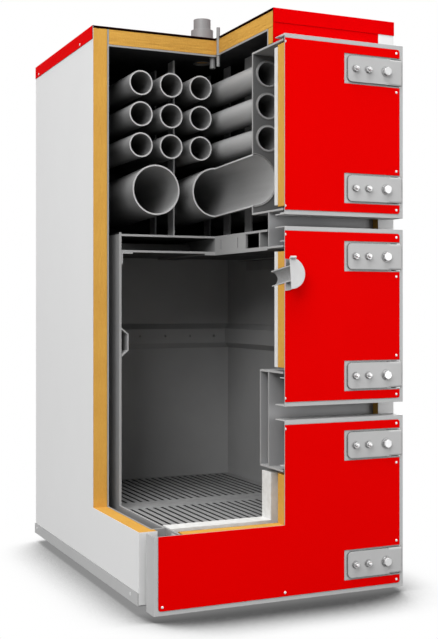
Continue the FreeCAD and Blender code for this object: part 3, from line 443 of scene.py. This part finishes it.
def wool_finish():
    """Fibre colour from two mottles, a wide one and a fine one drawn out along the batt, over a
    felted relief."""
    material = bpy.data.materials.new("mineral_wool")
    material.use_nodes = True
    tree = material.node_tree
    shader = tree.nodes["Principled BSDF"]
    shader.inputs["Roughness"].default_value = 1.0
    shader.inputs["Specular IOR Level"].default_value = 0.05
    wide = add(tree, "Group", {0: (0.63, 0.34, 0.066, 1), 1: (0.56, 0.28, 0.052, 1), 2: 0.09,
                               3: 0.5}, node_tree=mottle)
    fibres = add(tree, "Group", {0: wide.outputs["Color"], 1: (0.72, 0.42, 0.1, 1), 2: 0.004,
                                 3: 0.25, 4: (1, 0.35, 0.35)}, node_tree=mottle)
    felt = add(tree, "Group", {0: 0.0022, 1: 0.0006, 2: (1, 0.4, 0.4), 3: 0.002},
               node_tree=relief)
    tree.links.new(fibres.outputs["Color"], shader.inputs["Base Color"])
    tree.links.new(felt.outputs["Normal"], shader.inputs["Normal"])
    return material


wool = wool_finish()
right_low, right_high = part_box("insulation_right")
left_low, left_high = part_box("insulation_left")
shell_left, shell_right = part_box("water_shell_left")[0].x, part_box("water_shell_right")[1].x
jacket_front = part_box("bottom_plate")[0].y
front, back, foot, head = left_low.y, left_high.y, left_low.z, left_high.z
side_outline = [(front, foot), (back, foot), (back, head), (cut_back, head),
                (cut_back, cut_floor), (front, cut_floor)]
batt = build("wool_left", [
    wool_batt(side_outline, left_low.x, shell_left, 0, seed=2),
    wool_batt([(shell_left, foot), (left_high.x, foot), (left_high.x, cut_floor),
               (shell_left, cut_floor)], front, jacket_front, 1, seed=3)],
    wool, "boiler")
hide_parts("insulation_left")
batt = build("wool_right", [
    wool_batt([(front, foot), (back, foot), (back, head), (front, head)], shell_right,
              right_high.x, 0, seed=4),
    wool_batt([(right_low.x, foot), (shell_right, foot), (shell_right, shell_top),
               (right_low.x, shell_top)], front, jacket_front, 1, seed=5)],
    wool, "boiler")
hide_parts("insulation_right")
top_low, top_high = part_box("insulation_top")
slab_left, slab_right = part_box("water_shell_left")[1].x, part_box("water_shell_right")[0].x
batt = build("wool_top", [
    wool_batt([(0.0, top_low.y), (slab_right, top_low.y), (slab_right, top_high.y),
               (slab_left, top_high.y), (slab_left, cut_back), (0.0, cut_back)],
              shell_top, top_high.z, 2, seed=6),
    wool_batt([(0.0, top_low.z), (right_low.x, top_low.z), (right_low.x, shell_top),
               (0.0, shell_top)], top_low.y, jacket_front, 1, seed=7)],
    wool, "boiler")
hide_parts("insulation_top")
give(wool, "insulation_back")

# ---- casing ---------------------------------------------------------------------------------
# Folded 1.5 mm sheet: light grey side panels and back, a red lid whose edges turn down outside
# them, and a red fascia over the smoke door. All are powder coated, with a fine orange peel.
panel_coat = solid_finish("panel_coat", (0.79, 0.79, 0.79), (0.76, 0.76, 0.76), 0.35, 0.5,
                          (0.42, 0.5), 0.25, grit=0.0016, depth=0.00002, edge=(0.8, 0.8, 0.8),
                          edge_share=0.5)
give(panel_coat, "side_panel_left", "side_panel_right", "back_panel")
# The lid's downward faces are painted near black as shade.
red_coat = solid_finish("red_coat", (0.74, 0.0, 0.001), (0.69, 0.0, 0.001), 0.3, 0.5,
                        (0.45, 0.52), 0.012, grit=0.0016, depth=0.00002, edge=(0.8, 0.02, 0.02),
                        edge_share=0.4, sawn=(0.03, 0.004, 0.003), tint=(1, 0.02, 0.02),
                        underside_shade=(0.02, 0.004, 0.003))
give(red_coat, "top_lid", "front_fascia")

# ---- foot rails and casing screws -----------------------------------------------------------
# Grey 3 mm angle along the foot of each side panel, held by low headed screws, and pop rivets
# that fix the lid's flange to the panels. Each rail's face stands in by a screw head's height.
# Ambient occlusion paints shade into the corners of trays, straps, lugs and rails.
grey_coat = solid_finish("grey_coat", (0.5, 0.5, 0.5), (0.46, 0.46, 0.46), 0.25, 0.5,
                         (0.4, 0.5), 0.25, grit=0.0016, depth=0.00002, edge=(0.62, 0.6, 0.6),
                         edge_share=0.7, radius=0.0014, corner_shade=(0.03, 0.03, 0.03))


def turned(rows, centre, out, start=0.0, sweep=2 * math.pi, steps=24):
    """Turned shape. Each row is (radius, height); either may be a function of the angle a. Point =
    centre + radius (u cos a + v sin a) + height out, where u and v are square to out."""
    out, centre = np.array(out, float), np.array(centre, float)
    u = np.array((1, 0, 0) if abs(out[0]) < 0.5 else (0, 1, 0), float)
    v = np.cross(out, u)
    full = sweep > 6.28
    a = start + np.linspace(0, sweep, steps, endpoint=not full)
    radius = np.array([r(a) if callable(r) else np.full_like(a, r) for r, h in rows])
    height = np.array([h(a) if callable(h) else np.full_like(a, h) for r, h in rows])
    points = (centre + radius[..., None] * (u * np.cos(a)[:, None] + v * np.sin(a)[:, None])
              + height[..., None] * out)
    return points, grid_quads(len(rows), len(a), False, full)


def star(a):
    """Radius of a six-lobed driver recess at angle a."""
    return 0.00125 + 0.00028 * np.cos(6 * a)


def dome_rows(radius, height, recess=0.0009):
    """Rows of a domed head with a star recess, from its seat round to the recess floor."""
    t = np.linspace(0, 1, 6)
    dome = [(radius * math.cos(x * 1.2), height * math.sin(x * 1.2) / math.sin(1.2)) for x in t]
    return [(0.0, -0.0004), (radius, -0.0004), *dome, (star, height), (star, height - recess),
            (0.0, height - recess)]


zinc = solid_finish("zinc", (0.92, 0.92, 0.92), (0.82, 0.83, 0.84), 0.006, 0.5, (0.25, 0.38), 0.5,
                    metallic=0.3, grit=0.0008, depth=0.00002, radius=0.0004)
lid_low, lid_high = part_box("top_lid")
rivet_level = lid_low.z + 0.01
rivet_places = (cut_back + 0.138, lid_high.y - 0.048)
rivets = [turned([(0.0, 0.0), (0.0045, 0.0), (0.0043, 0.0007), (0.003, 0.0013), (0.0, 0.0015)],
                 (side * (lid_high.x - 0.0001), y, rivet_level), (side, 0, 0), steps=16)
          for side in (-1, 1) for y in rivet_places]
rail_low, rail_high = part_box("side_rails")
rail_level = rail_low.z + 0.022
rail_places = (rail_low.y + 0.0644, rail_high.y - 0.0293)
head_height = 0.0006
rail_face = rail_high.x - head_height - 0.0001
rivets += [turned([(0.0, 0.0), (0.0055, 0.0), (0.005, head_height), (star, head_height),
                   (star, -0.0006), (0.0, -0.0006)],
                  (side * rail_face, y, rail_level), (side, 0, 0), steps=16)
           for side in (-1, 1) for y in rail_places]
build("casing_rivets", rivets, zinc, "boiler", crease=35)
rail_mesh = nodes["side_rails"].data
rail_points = np.empty(3 * len(rail_mesh.vertices))
rail_mesh.vertices.foreach_get("co", rail_points)
rail_points = rail_points.reshape(-1, 3)
rail_points[:, 0] = np.clip(rail_points[:, 0], -rail_face, rail_face)
rails = build("foot_rails", [(rail_points, [list(face.vertices) for face in rail_mesh.polygons])],
              grey_coat, "boiler")
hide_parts("side_rails")

# ---- doors ----------------------------------------------------------------------------------
# Each door is a folded grey tray, 64 mm deep, with a red skin screwed to it, wool inside, and
# a white refractory board on the two hot ones. A rope seal lies between its lip and the wool.
skin_coat = solid_finish("skin_coat", (0.78, 0.0, 0.0), (0.755, 0.0, 0.0), 0.3, 0.5,
                         (0.42, 0.48), 0.05, grit=0.0016, depth=0.00002, edge=(0.85, 0.1, 0.1),
                         edge_share=0.6, radius=0.001, tint=(1, 0.02, 0.02))
board = solid_finish("board", (0.72, 0.72, 0.71), (0.62, 0.62, 0.61), 0.03, 0.6, (0.85, 0.95),
                     0.15, grit=0.001, depth=0.00018, edge=(0.75, 0.75, 0.74), radius=0.0015)
rope_fibre = solid_finish("rope_fibre", (0.1, 0.1, 0.1), (0.05, 0.05, 0.05), 0.003, 0.8,
                          (0.9, 1.0), 0.1, grit=0.0008, depth=0.0003)


def seal_rope(path, y, width, depth):
    """Braided rope laid along a path in the door's plane. Section: a squared oval, its half width
    and depth times cos and sin raised to 0.6; the braid swells it by a twelfth every 9 mm."""
    path = np.array(path, float)
    walk = np.concatenate([[0], np.cumsum(np.linalg.norm(np.diff(path, axis=0), axis=1))])
    steps = int(walk[-1] / 0.004)
    s = np.linspace(0, walk[-1], steps)
    line = np.stack([np.interp(s, walk, path[:, k]) for k in (0, 1)], 1)
    tangent = np.gradient(line, axis=0)
    tangent /= np.linalg.norm(tangent, axis=1, keepdims=True)
    side = np.stack([-tangent[:, 1], tangent[:, 0]], 1)
    b = np.linspace(0, 2 * math.pi, 12, endpoint=False)
    power = lambda v: np.sign(v) * np.abs(v) ** 0.6
    swell = 1 - 0.08 * np.sin(s[:, None] / 0.009 * 2 * math.pi + 2 * b)
    wide = power(np.cos(b)) * width / 2 * swell
    deep = power(np.sin(b)) * depth / 2 * swell
    points = np.stack([line[:, None, 0] + side[:, None, 0] * wide,
                       np.broadcast_to(y, wide.shape) + deep,
                       line[:, None, 1] + side[:, None, 1] * wide], -1)
    return points, grid_quads(steps, 12, False, True)


def rounded(corners, radius):
    """Path through corner points, each turned by an arc: 7 points of a quadratic curve."""
    path = [corners[0]]
    for one, corner, two in zip(corners, corners[1:], corners[2:]):
        one, corner, two = (np.array(p, float) for p in (one, corner, two))
        a = corner + (one - corner) / np.linalg.norm(one - corner) * radius
        c = corner + (two - corner) / np.linalg.norm(two - corner) * radius
        path += [tuple(a * (1 - t) ** 2 + corner * 2 * t * (1 - t) + c * t * t)
                 for t in np.linspace(0, 1, 7)]
    return path + [corners[-1]]


seal_width = 0.014
inlet_slope = math.tan(math.radians(6.8))   # the air inlet rises this much towards the front
inlet_level, inlet_plane = 1.001, -0.618676   # its axis crosses this height at this Y
inlet_hole = 0.0248
for door in ("smoke_door", "fire_door", "ash_door"):
    give(grey_coat, door + "_tray", door + "_hinge_straps")
    give(skin_coat, door + "_skin")
    low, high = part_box(door + "_insulation")
    right, bottom, top = high.x, low.z, high.z
    if door == "ash_door":
        outline = [(low.x, bottom), (right, bottom), (right, top), (0.0, top), (0.0, cut_floor),
                   (low.x, cut_floor)]
    elif door == "fire_door":
        level = inlet_level - (low.y - inlet_plane) * inlet_slope
        arc = [(inlet_hole * math.cos(t), level + inlet_hole * math.sin(t), 1.0)
               for t in np.linspace(math.pi / 2, -math.pi / 2, 13)]
        outline = [(0.0, bottom), (right, bottom), (right, top), (0.0, top), *arc]
    else:
        outline = [(0.0, bottom), (right, bottom), (right, top), (0.0, top)]
    shift = -(high.y - low.y) * inlet_slope
    batt = build(door + "_wool", [wool_batt(outline, low.y, high.y, 1, shift, seed=len(door))],
                 wool, door)
    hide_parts(door + "_insulation")
    if door != "ash_door":
        give(board, door + "_board")
    collar_low, collar_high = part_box(door + "_collar")
    x = collar_high.x - 0.003
    z0, z1 = collar_low.z + 0.003, collar_high.z - 0.003
    if door == "ash_door":
        loop = rounded([(-x, cut_floor - 0.001), (-x, z0), (x, z0), (x, z1), (0.0, z1)], 0.02)
    else:
        loop = rounded([(0.0, z0), (x, z0), (x, z1), (0.0, z1)], 0.02)
    seal_y = (collar_low.y + low.y) / 2
    build(door + "_seal", [seal_rope(loop, seal_y, seal_width, (collar_low.y - low.y) * 0.95)],
          rope_fibre, door, crease=70)

# ---- skin screws ----------------------------------------------------------------------------
# Small zinc plated screws with domed heads hold each skin to its tray. Those that stand on the
# cut are sawn in half with it.
screw_rows = dome_rows(0.0042, 0.002)
screw_inset = 0.0116   # from the skin's side edges, and a hair less from top and bottom
screw_drop = 0.0115
for door in ("smoke_door", "fire_door", "ash_door"):
    low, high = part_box(door + "_skin")
    x = high.x - screw_inset
    heights = [high.z - screw_drop, high.z - 0.135, low.z + 0.134, low.z + screw_drop]
    screws = [turned(screw_rows, (x, low.y, z), (0, -1, 0)) for z in heights]
    if door == "ash_door":
        screws += [turned(screw_rows, (x, low.y, low.z + screw_drop), (0, -1, 0))
                   for x in (0.0, low.x + screw_inset)]
        halves = [high.z - screw_drop]
    else:
        halves = [high.z - screw_drop, low.z + screw_drop]
    screws += [turned(screw_rows, (0.0, low.y, z), (0, -1, 0), -math.pi / 2, math.pi)
               for z in halves]
    build(door + "_skin_screws", screws, zinc, door, crease=35)

# ---- hinges ---------------------------------------------------------------------------------
# Each leaf is held by two M10 studs with nuts and one M16 hexagon bolt, all zinc plated on
# washers. The lug and its fixed pin are welded to the jacket's front plate.
give(grey_coat, "hinge_lugs")
# Ambient occlusion paints shade round the nuts, studs, heads and washers.
bolt_zinc = solid_finish("bolt_zinc", (0.82, 0.82, 0.82), (0.7, 0.7, 0.705), 0.008, 0.5,
                         (0.3, 0.42), 0.5, metallic=0.35, grit=0.001, depth=0.00002,
                         edge=(0.9, 0.9, 0.9), radius=0.0006, corner_shade=(0.02, 0.02, 0.02),
                         reach=0.02)


def hexagon(flats):
    """Radius of a hexagon at angle a: half the width over flats, over the cosine of the angle from
    the nearest flat."""
    return lambda a: flats / 2 / np.cos((a + math.pi / 6) % (math.pi / 3) - math.pi / 6)


def hex_rows(flats, base, height, hollow=0.0):
    """Rows of a hexagon head or nut. The chamfer is a cone, so it cuts the corners lower than the
    flats, in the usual arcs."""
    rim = flats / 2 * 0.96
    corner = hexagon(flats)
    drop = lambda a: base + height - (corner(a) - rim) * math.tan(math.radians(30))
    top = base + height
    end = [(hollow, top), (hollow, top - 0.0006)] if hollow else [(rim * 0.2, top)]
    return [(0.0, base), (corner, base), (corner, drop), (rim, top), *end, (0.0, end[-1][1])]


def washer_rows(radius, thick):
    """Rows of a washer without its hole, which the nut or head covers."""
    return [(0.0, 0.0), (radius, 0.0), (radius, thick * 0.8), (radius * 0.97, thick), (0.0, thick)]


def stud(centre, radius, base, height, pitch=0.0015, steps=20):
    """Threaded end. Radius falls by the thread's depth in a cosine of the height over the pitch
    less the angle over a full turn, which makes one helix; the tip is a low cone."""
    a = np.linspace(0, 2 * math.pi, steps, endpoint=False)
    rows = max(8, int(height / pitch * 6))
    h = np.linspace(0, height, rows)[:, None]
    thread = 0.0006 * (0.5 + 0.5 * np.cos(2 * math.pi * h / pitch - a))
    tip = np.clip((h - height + 0.002) / 0.002, 0, 1) * radius * 0.25
    r = (radius - thread - tip) * (h < height) + 0.0
    points = np.stack([centre[0] + r * np.cos(a), centre[1] - base - h + 0 * a,
                       centre[2] + r * np.sin(a)], -1)
    start = np.broadcast_to([centre[0], centre[1] - base, centre[2]], (1, steps, 3))
    return np.concatenate([start, points]), grid_quads(rows + 1, steps, False, True)


leaf_half = 0.041
stud_places, bolt_place = (0.244, 0.290), 0.356
for door in ("smoke_door", "fire_door", "ash_door"):
    strap_low, strap_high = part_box(door + "_hinge_straps")
    for number, z in enumerate((strap_low.z + leaf_half, strap_high.z - leaf_half), 1):
        parts = []
        for x in stud_places:
            centre = (x, strap_low.y, z)
            parts.append(turned(washer_rows(0.0095, 0.002), centre, (0, -1, 0)))
            parts.append(turned(hex_rows(0.017, 0.002, 0.008, 0.0049), centre, (0, -1, 0),
                                steps=36))
            parts.append(stud(centre, 0.005, 0.002, 0.018))
        centre = (bolt_place, strap_low.y, z)
        parts.append(turned(washer_rows(0.0155, 0.003), centre, (0, -1, 0), steps=32))
        parts.append(turned(hex_rows(0.024, 0.003, 0.01), centre, (0, -1, 0), steps=36))
        build(f"{door}_hinge_bolts_{number}", parts, bolt_zinc, door, crease=30)

# ---- air inlet of the fire door -------------------------------------------------------------
# A slanting drawn tube with a ring and a round cover, sawn through by the cut like the door.
# Ambient occlusion paints shade into the inlet tube and round its cover.
inlet_steel = solid_finish("inlet_steel", (0.45, 0.45, 0.45), (0.38, 0.38, 0.38), 0.03, 0.5,
                           (0.4, 0.5), 0.3, grit=0.0015, depth=0.00004, edge=(0.7, 0.7, 0.7),
                           radius=0.0008, corner_shade=(0.04, 0.04, 0.04), reach=0.035,
                           sawn=(0.5, 0.5, 0.5))
cover_steel = solid_finish("cover_steel", (0.6, 0.6, 0.6), (0.54, 0.54, 0.54), 0.03, 0.5,
                           (0.4, 0.5), 0.3, grit=0.0015, depth=0.00004, edge=(0.75, 0.75, 0.75),
                           radius=0.0008, corner_shade=(0.1, 0.1, 0.1), reach=0.01,
                           sawn=(0.6, 0.6, 0.6))
give(inlet_steel, "fire_door_air_inlet")
give(cover_steel, "fire_door_inlet_cover")

# ---- studio ---------------------------------------------------------------------------------
# A wide white floor and backdrop light, a broad light overhead, one from the front left, and
# three fills that lift the shade. The floor's shadow is painted: its glow, seen only by the
# camera, is white under open sky and grey under covered sky, and darkest just in front.
floor_size = 30.0
a = np.linspace(-floor_size, floor_size, 9)
floor_mesh = bpy.data.meshes.new("floor")
floor_points = np.stack([*np.meshgrid(a, a, indexing="ij"), np.zeros((9, 9))], -1)
floor_mesh.from_pydata(floor_points.reshape(-1, 3).tolist(), [], grid_quads(9, 9))
floor = bpy.data.objects.new("floor", floor_mesh)
bpy.context.scene.collection.objects.link(floor)
floor_paint = bpy.data.materials.new("floor_paint")
floor_paint.use_nodes = True
floor_shader = floor_paint.node_tree.nodes["Principled BSDF"]
floor_shader.inputs["Roughness"].default_value = 1.0
floor_shader.inputs["Specular IOR Level"].default_value = 0.0
tree = floor_paint.node_tree
seen = add(tree, "LightPath").outputs["Is Camera Ray"]
paint = add(tree, "Mix", {0: seen, 6: (0.2, 0.2, 0.2, 1), 7: (0.0, 0.0, 0.0, 1)},
            data_type="RGBA")
tree.links.new(paint.outputs[2], floor_shader.inputs["Base Color"])
# Painted shadow: ambient occlusion round the boiler dims the floor's glow, which falls lower just in
# front of it.
leaning = add(tree, "CombineXYZ", {0: 0.0, 1: 0.3, 2: 0.95}).outputs[0]
sky = add(tree, "AmbientOcclusion", {"Distance": 0.33, "Normal": leaning},
          samples=16).outputs["AO"]
place = add(tree, "TexCoord").outputs["Object"]
behind = add(tree, "SeparateXYZ", {0: place}).outputs["Y"]
least = add(tree, "MapRange", {0: behind, 1: -0.66, 2: -0.5, 3: 0.05, 4: 0.26}).outputs[0]
open_sky = add(tree, "MapRange", {0: sky, 1: 0.4, 2: 0.86, 3: least, 4: 1.0},
               interpolation_type="SMOOTHSTEP").outputs[0]
glow = add(tree, "Math", {0: open_sky, 1: seen}, operation="MULTIPLY").outputs[0]
tree.links.new(glow, floor_shader.inputs["Emission Strength"])
floor_shader.inputs["Emission Color"].default_value = (1, 1, 1, 1)
floor_mesh.materials.append(floor_paint)

world = bpy.data.worlds.new("studio")
world.use_nodes = True
bpy.context.scene.world = world
tree = world.node_tree
tree.nodes.clear()
ray = add(tree, "LightPath").outputs["Is Camera Ray"]
dome = add(tree, "Background", {"Color": (1, 1, 1, 1), "Strength": 0.3})
backdrop = add(tree, "Background", {"Color": (1, 1, 1, 1), "Strength": 1.0})
both = add(tree, "MixShader", {0: ray, 1: dome.outputs[0], 2: backdrop.outputs[0]})
add(tree, "OutputWorld", {0: both.outputs[0]})


def soft_light(name, place, aim, size, brightness):
    """Square area light turned to a point. Its power is pi times its area times its brightness."""
    data = bpy.data.lights.new(name, "AREA")
    data.size = size
    data.energy = math.pi * size * size * brightness
    light = bpy.data.objects.new(name, data)
    bpy.context.scene.collection.objects.link(light)
    light.location = place
    way = np.array(aim, float) - np.array(place, float)
    light.rotation_euler = (math.acos(-way[2] / np.linalg.norm(way)), 0,
                            math.atan2(way[1], way[0]) - math.pi / 2)
    return light


soft_light("overhead", (-1.2, -1.9, 8.0), (-0.1, -0.3, 0.0), 5.0, 7.3)
soft_light("key", (-3.8, -4.3, 4.0), (0.0, 0.0, 0.9), 3.0, 6.5)
soft_light("front_fill", (3.0, -6.0, 0.4), (0.0, 0.0, 0.3), 3.0, 6.2)
side_fill = soft_light("side_fill", (-6.5, 2.0, 0.6), (0.0, 0.0, 0.5), 3.0, 6.5)
side_fill.visible_glossy = False
soft_light("back_fill", (3.2, 5.6, 2.6), (0.0, 0.0, 0.9), 3.0, 6.0)

camera_data = bpy.data.cameras.new("camera")
camera_data.lens = 62.07
camera_data.sensor_width = 36.0
camera_data.shift_y = -0.0232
camera_data.clip_end = 100.0
camera = bpy.data.objects.new("camera", camera_data)
bpy.context.scene.collection.objects.link(camera)
camera.location = (-1.55, -3.554676, 0.911)
camera.rotation_euler = (math.pi / 2, 0, -0.42577)
bpy.context.scene.camera = camera
bpy.context.scene.view_settings.view_transform = "Standard"
